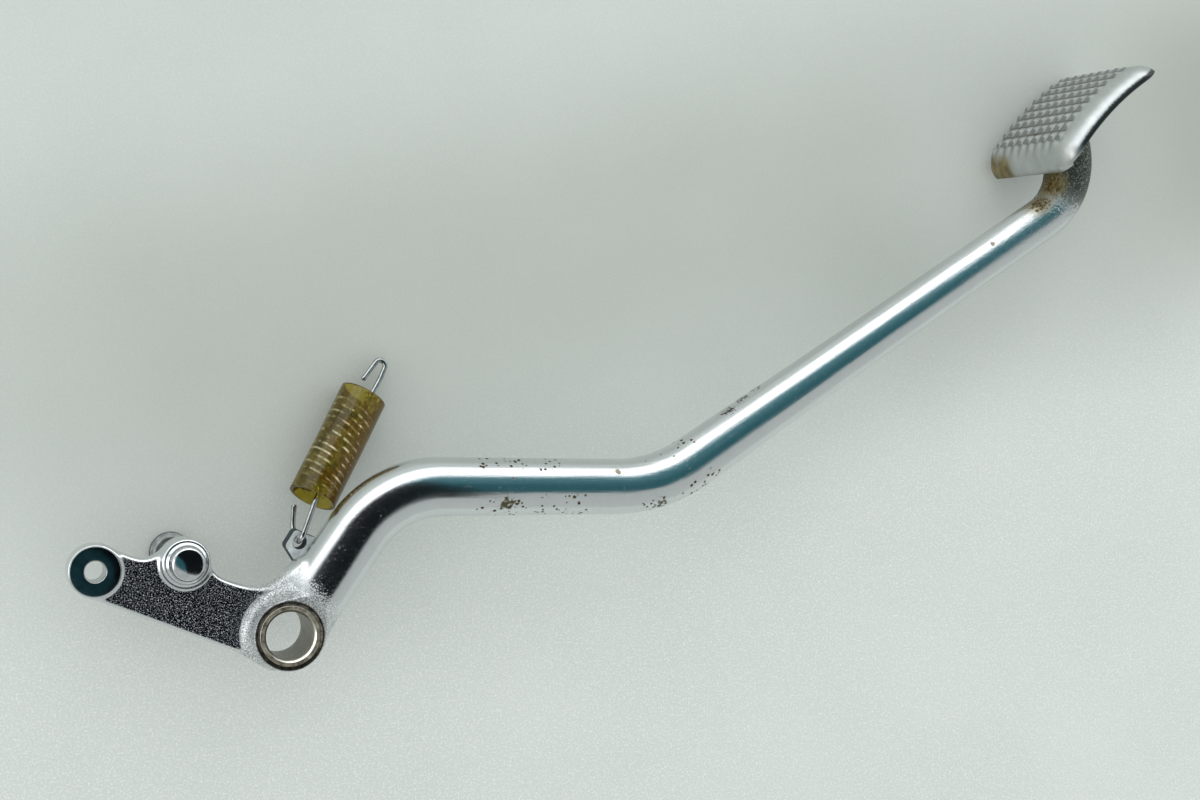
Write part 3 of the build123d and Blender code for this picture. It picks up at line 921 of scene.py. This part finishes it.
def switch_pin(material):
    """A headed pin through the lever, its upper end pressed into a low dome on a collar."""
    top, crown_r, shoulder, round_r = 8.95, 14.5, 4.0, 1.35
    lean = np.arcsin(shoulder / crown_r)
    high = top - crown_r * (1 - cos(lean)) - round_r * cos(lean)
    out = shoulder - round_r * sin(lean)
    dome = [(out + round_r * cos(t), high + round_r * sin(t)) for t in np.linspace(-0.2, pi / 2 - lean, 12)]
    dome += [(crown_r * sin(t), top - crown_r * (1 - cos(t))) for t in np.linspace(lean, 0.002, 9)[1:]]
    stem = [(0.02, -26.4), (5.7, -26.4), (6.2, -25.9), (6.2, -25.0), (5.7, -24.5), (4.9, -24.35),
            (4.4, -23.6), (4.2, -22.8), (4.2, -5.2), (4.9, -4.7), (5.6, -4.7), (5.6, 4.7), (6.0, 4.95),
            (5.9, 5.25), (5.3, 5.35), (5.2, 5.6), (4.95, 6.3)]
    points, faces = lathe(stem + dome, (*PIN, 0))
    return make_piece("switch_pin", points, faces, "pedal", material, ("switch_pin",))


# ---------------------------------------------------------------- foot pad
def pad_lines(half, first, pitch, count, splits):
    """Grid lines across the pad: fine over the tread and round both rolled edges."""
    treads = {round(first + i * pitch / splits, 4) for i in range(count * splits + 1)}
    insets = [PAD_ROLL * (1 - cos(t)) for t in np.linspace(0, pi / 2, 13)]
    edges = {round(side * (half - inset), 4) for inset in insets for side in (-1, 1)}
    kept = []
    for line in sorted(treads | edges):
        if abs(line) > half:
            continue
        if not kept or line - kept[-1] >= 0.12:
            kept.append(line)
        elif line in treads:
            kept[-1] = line
    return np.array(kept)


def crown(chord):
    """How far the pad's curve falls at a distance along the chord."""
    return np.sqrt(PAD_CROWN_R ** 2 - chord ** 2) - PAD_CROWN_R


def pad_sheet(lines_s, lines_z, inset):
    """One curved sheet of the pad, this far inside the outer one, with rounded corners.

    Returns each point's place along the chord, height and place across, and its depth inside the edge.
    """
    half_s, half_z = PAD_CHORD / 2 - inset, PAD_WIDTH / 2 - inset
    corner, roll = PAD_CORNER_R - inset, PAD_ROLL - inset
    s, z = np.meshgrid(lines_s * half_s / (PAD_CHORD / 2), lines_z * half_z / (PAD_WIDTH / 2), indexing="ij")
    depth = np.minimum(half_s - np.abs(s), half_z - np.abs(z))
    a, b = np.abs(s) - (half_s - corner), np.abs(z) - (half_z - corner)
    squeeze = np.maximum(a, b) / np.maximum(length2(a, b), 1e-9)
    in_corner = (a > 0) & (b > 0)
    s = np.where(in_corner, np.sign(s) * (half_s - corner + a * squeeze), s)
    z = np.where(in_corner, np.sign(z) * (half_z - corner + b * squeeze), z)
    inward = np.clip((roll - depth) / roll, 0, 1)
    height = crown(s) + (PAD_HEIGHT - inset) * np.sqrt(np.maximum(1 - inward ** 2, 0))
    return s, height, z, depth


def tread_height(s, z):
    """Rows of small pyramids, and flutes that run from them over the lower edge."""
    u = (s - TREAD_FIRST_ROW) / TREAD_ROW
    v = (z - TREAD_FIRST_COLUMN) / TREAD_COLUMN
    across = (v >= 0) & (v <= TREAD_COLUMNS)
    on_tread = (u >= 0) & (u <= TREAD_ROWS) & across
    up_row = u - np.floor(u)
    ridge = 1 - np.abs(v - np.floor(v) - 0.5) * 2
    # each pyramid's peak sits low in its cell, so its lower side is the steep one
    peak = 0.42
    pyramid = np.minimum(np.where(up_row < peak, up_row / peak, (1 - up_row) / (1 - peak)), ridge)
    flute = ridge * smooth_step(-22.5, -18.0, s) * (s < TREAD_FIRST_ROW) * across
    fade = smooth_step(21.5, 15.0, z) * 0.5 + 0.5
    return np.where(on_tread, pyramid * 1.25, flute * 0.95) * fade - np.where(on_tread, 0.6, 0)


def foot_pad(material):
    """A pressed plate with a rolled rim: an outer sheet with the tread, a plain inner one, and a lip."""
    lines_s = pad_lines(PAD_CHORD / 2, TREAD_FIRST_ROW, TREAD_ROW, TREAD_ROWS, 12)
    lines_z = pad_lines(PAD_WIDTH / 2, TREAD_FIRST_COLUMN, TREAD_COLUMN, TREAD_COLUMNS, 10)
    s, height, z, depth = pad_sheet(lines_s, lines_z, 0.0)
    height = height + tread_height(s, z) * smooth_step(0.2, 3.0, depth)
    outer = np.stack([s, height, z], -1).reshape(-1, 3)
    inner = np.stack(pad_sheet(lines_s, lines_z, PAD_THICKNESS)[:3], -1).reshape(-1, 3)
    count = len(outer)
    faces = grid_faces(*s.shape) + grid_faces(*s.shape, start=count, flip=True)
    grid = np.arange(count).reshape(s.shape)
    loop = np.array([*grid[0], *grid[1:, -1], *grid[-1, -2::-1], *grid[-2:0:-1, 0]])
    # the rim: a small rounded lip between the two sheets
    lips, bands = [], [loop]
    for share, drop in ((0.25, 0.45), (0.5, 0.6), (0.75, 0.45)):
        lips.append(outer[loop] * (1 - share) + inner[loop] * share - [0, drop, 0])
        bands.append(2 * count + len(loop) * (len(lips) - 1) + np.arange(len(loop)))
    bands.append(loop + count)
    for upper, lower in zip(bands, bands[1:]):
        faces += np.stack([np.roll(upper, -1), upper, lower, np.roll(lower, -1)], 1).tolist()
    points = np.concatenate([outer, inner, *lips])
    flat = PAD_MIDDLE + np.outer(points[:, 0], PAD_ALONG) + np.outer(points[:, 1], PAD_OUT)
    points = np.column_stack([flat, points[:, 2]])
    return make_piece("foot_pad", points, faces, "pedal", material, ("foot_pad",))


def pad_weld(material):
    """A bead of weld, laid in small overlapping ripples round the neck."""
    segments, steps, ring_r = 168, 14, 8.4
    pad_out = np.array([*PAD_OUT, 0])
    ceiling = PAD_HEIGHT - PAD_THICKNESS + 0.2
    points = []
    for angle in round_turn(segments):
        size = 1.5 + 0.16 * abs(sin(angle * 14)) + 0.12 * sin(angle * 5 + 1.0)
        side = np.array([-NECK_WAY[1] * cos(angle), NECK_WAY[0] * cos(angle), sin(angle)])
        # where this side of the neck meets the pad's ceiling
        base = ARM_CORNERS[2] + side[:2] * ring_r
        gap = (ceiling - (base - PAD_MIDDLE) @ PAD_OUT) / (NECK_WAY @ PAD_OUT)
        meet = np.array([*(base + NECK_WAY * gap), side[2] * ring_r])
        for t in round_turn(steps):
            points.append(meet + side * cos(t) * size - pad_out * (sin(t) * size * 0.8 + 0.4))
    faces = grid_faces(segments, steps, wrap=True, loop=True)
    return make_piece("pad_weld", points, faces, "pedal", material, ("pad_weld",))


# ---------------------------------------------------------------- lug
def spring_axes():
    """Unit vectors along the spring, beside it in the drawing's plane, and straight up."""
    turn, dip = radians(SPRING_ANGLE), radians(SPRING_DIP)
    along = np.array([cos(turn) * cos(dip), sin(turn) * cos(dip), -sin(dip)])
    beside = np.array([sin(turn), -cos(turn), 0.0])
    return along, beside, np.array([0, 0, 1.0])


def spring_point(*place):
    """A point from its distances along, beside and above the spring's base."""
    return SPRING_BASE + np.array(place) @ np.array(spring_axes())


LUG_OUTLINE = rounded([(-8.0, -8.5), (4.6, -8.5), (2.4, 3.7), (-3.5, 3.4)], 1.5, 7)
LUG_HOLE = spring_point(0, LUG_HOLE_BESIDE, 0)


def lug_distance(p):
    """A tilted plate with a hole, run into the arm with a fillet and cut off inside it."""
    tilt = radians(LUG_TILT)
    x_axis = np.array([*RUN_1, 0])
    normal = np.array([RUN_1[1] * sin(tilt), -RUN_1[0] * sin(tilt), cos(tilt)])
    q = p - LUG_HOLE
    x, y, z = q @ x_axis, q @ np.cross(normal, x_axis), q @ normal
    plate = slab(outline_distance(x, y, LUG_OUTLINE), z, LUG_THICKNESS / 2, 0.45)
    plate = round_cut(plate, length2(x, y) - LUG_HOLE_R, 0.35)
    arm = root_distance(p)
    return np.maximum(fillet_union(plate, arm + 0.25, 1.7), -(arm + 0.9))


def spring_lug(material):
    low, high = LUG_HOLE - [11, 11, 7], LUG_HOLE + [12, 12, 7]
    points, quads, normals = surface_net(lug_distance, low, high, 0.3)
    _, across = on_first_run(points)
    hidden = root_distance(points) < -0.15
    shown = ~hidden[quads].all(1) & (across[quads].mean(1) > 0)
    points, quads, normals = drop_loose(points, quads[shown], normals)
    return make_piece("spring_lug", points, quads.tolist(), "pedal", material,
                      ("spring_lug",), normals)


# ---------------------------------------------------------------- spring
def coil_path():
    """The coil, with its lead-in from the lower shank, and the distance along the axis where it ends."""
    out = []
    shank_r, step = 3.75, 0.35
    pitch = COIL_PITCH / (2 * pi * COIL_R)
    along, angle, length = COIL_START - 1.6, radians(84), 0.0
    while along < COIL_START + COIL_TURNS * COIL_PITCH - 0.2:
        winding = smooth_step(0.0, 5.0, length)
        wound = winding > 0.99
        rate = winding * (1 - pitch) + pitch if wound else winding
        radius = shank_r + (COIL_R - shank_r) * smooth_step(0.5, 9.0, length)
        out.append(spring_point(along, radius * cos(angle), radius * sin(angle)))
        angle += step * rate / radius
        along += step * (pitch if wound else sqrt(max(1 - rate * rate, pitch ** 2)))
        length += step
    return out, along


def smooth_join(before, after, pull, count):
    """Points of a smooth curve from the end of one path to the start of the next."""
    a, b = before[-1], after[0]
    leave, arrive = unit(a - before[-2]) * pull, unit(after[1] - b) * pull
    out = []
    for t in np.linspace(0, 1, count)[1:-1]:
        share = smooth_step(0, 1, t)
        out.append((1 - share) * a + share * b + t * (1 - t) * ((1 - t) * leave - t * arrive))
    return out


def resample(path, step):
    """A path's points at even distances."""
    path = np.array(path)
    along = lengths_along(path)
    even = np.linspace(0, along[-1], int(along[-1] / step))
    return np.stack([np.interp(even, along, path[:, axis]) for axis in range(3)], 1)


def tube(path, radius, segments=14):
    """A round wire along a path, with its frame carried along without twist and its ends' edges broken."""
    tangents = np.gradient(path, axis=0)
    tangents /= np.linalg.norm(tangents, axis=1, keepdims=True)
    side = np.cross(tangents[0], [0.3, 0.5, 0.8])
    turns = round_turn(segments)
    rings = []
    for place, tangent in zip(path, tangents):
        side = unit(side - tangent * (side @ tangent))
        direction = np.outer(np.cos(turns), side) + np.outer(np.sin(turns), np.cross(tangent, side))
        rings.append(direction * radius + place)
    first, last = [(rings[end] - path[end]) * 0.8 + path[end] for end in (0, -1)]
    rings = [first - tangents[0] * radius * 0.2, *rings, last + tangents[-1] * radius * 0.2]
    return np.concatenate(rings), tube_faces(len(rings), segments)


def spring_wire(material):
    """One wire: tip, hook through the lug, shank, coil, upper shank and open loop."""
    hook = [(8.9, -3.1, -3.5), (3.6, -0.8, -3.5), (0, 1.75, -3.5), (0, 1.75, 4.4),
            (COIL_START - 3.2, 0.35, 3.8)]
    loop = [(48.5, 1.95, 0.1), (57.0, 2.30, 0), (62.3, 1.95, 0), (62.0, -1.0, 0), (53.9, -2.35, 0)]
    hook = bent_path([spring_point(*place) for place in hook], [2.5, 1.8, 2.1])
    loop = bent_path([spring_point(*place) for place in loop], [8.0, 1.6, 1.7])
    coil, coil_end = coil_path()
    path = hook + smooth_join(hook, coil, 1.5, 6) + coil + smooth_join(coil, loop, 11.0, 22) + loop
    points, faces = tube(resample(path, 0.5), WIRE_R)
    piece = make_piece("spring_wire", points, faces, None, material)
    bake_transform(piece)
    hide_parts("spring_lower_hook", "spring_coils", "spring_upper_hook")
    return piece


def sleeve(material):
    """A cut length of soft tube, not quite round, its cut ends not quite square."""
    along, beside, _ = spring_axes()
    up = np.cross(beside, along)
    segments, stations = 96, 60
    turns = round_turn(segments)
    half = SLEEVE_LENGTH / 2

    def ring(place, radius):
        wave = 0.06 * np.cos(2 * turns + 0.5) + 0.05 * np.sin(3 * turns + place * 0.21)
        from_middle = place - SLEEVE_FROM - half
        lean = 0.25 * np.cos(turns + 2.0) * from_middle / half
        size = radius - 0.1 + wave
        offsets = np.outer(np.cos(turns) * size, beside) + np.outer(np.sin(turns) * size, up)
        return offsets + spring_point(place, 0, 0) + np.outer(lean, along)

    low, high = SLEEVE_FROM + 0.35, SLEEVE_FROM + SLEEVE_LENGTH - 0.35
    inner = SLEEVE_R - SLEEVE_WALL
    rings = [ring(place, SLEEVE_R) for place in np.linspace(low, high, stations)]
    rings += [ring(high + 0.08, SLEEVE_R - 0.12), ring(high + 0.08, inner + 0.12)]
    rings += [ring(place, inner) for place in np.linspace(high, low, stations)]
    rings += [ring(low - 0.08, inner + 0.12), ring(low - 0.08, SLEEVE_R - 0.12)]
    points = np.concatenate(rings)
    faces = grid_faces(len(rings), segments, wrap=True, loop=True, flip=True)
    return make_piece("vinyl_sleeve", points, faces, "sleeve", material,
                      ("spring_sleeve",))


# ---------------------------------------------------------------- stage, lights and camera
CAMERA_AT = Vector((-129.78, 92.35, 628.18))
CAMERA_TARGET = Vector((97.614, 65.930, 0.0))
VIEWER_OUTLINE = ((-22, -34), (-30, 10), (-40, 27), (-128, 112), (-118, 150), (16, 164), (62, 112),
                  (79, 62), (93, 0), (99, -48), (60, -62))
VIEWER_HEIGHT = 120.0
WINDOW_AT = Vector((150, 900, 620))
WINDOW_TARGET = Vector((100, 60, 0))
WINDOW_SIZE = (900, 420)


def camera():
    """Over the part, level with the drawing's x axis."""
    data = bpy.data.cameras.new("camera")
    data.sensor_width = 36.0
    data.lens = 66.0
    data.clip_end = 50.0
    seen = bpy.data.objects.new("camera", data)
    bpy.context.scene.collection.objects.link(seen)
    forward = (CAMERA_TARGET - CAMERA_AT).normalized()
    right = forward.cross(Vector((0, 1, 0))).normalized()
    axes = Matrix((right, right.cross(forward), -forward)).transposed()
    seen.matrix_world = Matrix.Translation(CAMERA_AT * 0.001) @ axes.to_4x4()
    bpy.context.scene.camera = seen


def floor():
    """A pale plastic sheet, finely mottled, with painted shade in a band behind the part."""
    s = Shader("floor_card")
    x = s.place(0)
    grain = s.noise(0.6, 3, 0.75)
    colour = s.between(s.noise(70, 4, 0.55), (0.592, 0.632, 0.602), (0.634, 0.674, 0.646))
    far = s.minus(s.place(1), s.times(x, 0.2))
    grainy = s.times(s.step(grain, 0.46, 0.7), s.blend(s.step(far, -20, 70), 0.9, 0.34))
    colour = s.mix(grainy, colour, (0.8, 0.83, 0.8))
    # painted shade: a darker band behind the part, stronger to the right, weaker to the left, and thinned
    # round the pad
    shade = s.times(s.step(far, -5, 85), s.blend(s.step(far, 105, 170), 0.42, 0.12),
                    s.blend(s.step(x, 170, 260), 1, 1.48), s.blend(s.step(x, -110, -15), 0.6, 1),
                    s.blend(s.near((262, 145, FLOOR_Z), 22, 82), 1, 0.46))
    colour = s.mix(shade, colour, (0.25, 0.27, 0.23))
    s.bump(grain, 0.25, 0.1)
    material = s.finish(colour, 0.75, 0)
    size = 4000
    points = [(-size, -size, FLOOR_Z), (size, -size, FLOOR_Z), (size, size, FLOOR_Z), (-size, size, FLOOR_Z)]
    piece = make_piece("floor", points, [(0, 1, 2, 3)], None, material)


def viewer_card():
    """The dark viewer leaning over the root of the arm, seen only in reflections."""
    material = bpy.data.materials.new("viewer_black")
    material.use_nodes = True
    material.node_tree.nodes.clear()
    nodes = Nodes(material.node_tree)
    black = nodes.add("ShaderNodeEmission")
    black.inputs["Color"].default_value = (0.004, 0.006, 0.007, 1)
    nodes.link(black.outputs[0], nodes.add("ShaderNodeOutputMaterial").inputs["Surface"])
    corners = [(x, y, VIEWER_HEIGHT) for x, y in VIEWER_OUTLINE]
    piece = make_piece("viewer_card", corners, [tuple(range(len(corners)))], None, material)
    piece.visible_camera = False
    piece.visible_diffuse = False
    piece.visible_shadow = False
    piece.visible_transmission = False


def window_light():
    """A weak lamp in the window's place."""
    data = bpy.data.lights.new("window", "AREA")
    data.shape = "RECTANGLE"
    data.size, data.size_y = [side * 0.001 for side in WINDOW_SIZE]
    data.energy = 0.9
    light = bpy.data.objects.new("window", data)
    light.location = WINDOW_AT * 0.001
    light.rotation_euler = (WINDOW_TARGET - WINDOW_AT).to_track_quat("-Z", "Y").to_euler()
    bpy.context.scene.collection.objects.link(light)


def world():
    """Pale walls, a broad window over the far side, a teal ceiling overhead, and two lamps' glow."""
    room = bpy.data.worlds.new("studio")
    bpy.context.scene.world = room
    room.use_nodes = True
    w = Nodes(room.node_tree)
    way = w.add("ShaderNodeTexCoord").outputs["Generated"]

    def toward(direction, low, high):
        return w.step(w.dot(way, Vector(direction).normalized()), low, high)

    def cone(direction, outside, inside):
        """1 within one angle of a direction, 0 beyond another."""
        return toward(direction, cos(radians(outside)), cos(radians(inside)))

    # the window is the band between two tilted planes
    low_edge = toward((0, cos(radians(53)), -sin(radians(53))), -0.04, 0.05)
    high_edge = toward((0, -cos(radians(82)), sin(radians(82))), -0.12, 0.08)
    sky = w.mix(toward((0, 0, 1), -0.2, 0.9), (0.56, 0.59, 0.57), (0.5, 0.53, 0.52))
    teal = w.mix(toward((0, cos(radians(20)), -sin(radians(20))), -0.35, 0.45),
                 (0.028, 0.114, 0.136), (0.094, 0.238, 0.275))
    sky = w.mix(cone((0.15, 0.25, 0.957), 37.8, 35.3), sky, teal)
    sky = w.mix(w.times(low_edge, high_edge), sky, (1.9, 1.95, 2))
    sky = w.mix(cone((-0.47, 0.7, 0.53), 22, 8), sky, (1.7, 1.75, 1.8))
    sky = w.mix(cone((-0.83, -0.02, 0.44), 25, 9), sky, (2.8, 2.8, 2.8))
    # the room lights dull surfaces evenly
    sky = w.mix(w.add("ShaderNodeLightPath").outputs["Is Diffuse Ray"], sky, (0.93, 0.95, 0.94))
    background = room.node_tree.nodes["Background"]
    w.link(sky, background.inputs["Color"])
    background.inputs["Strength"].default_value = 1


# ---------------------------------------------------------------- build it all
camera()
world()
floor()
viewer_card()
window_light()
bpy.context.scene.view_settings.view_transform = "Standard"

forging(forging_material())
boss_ring(boss_material())
bush(bush_material())
rod_eye(eye_material())
switch_pin(pin_material())
foot_pad(pad_material())
pad_weld(weld_material())
spring_lug(lug_material())
spring_wire(wire_material())
sleeve(sleeve_material())
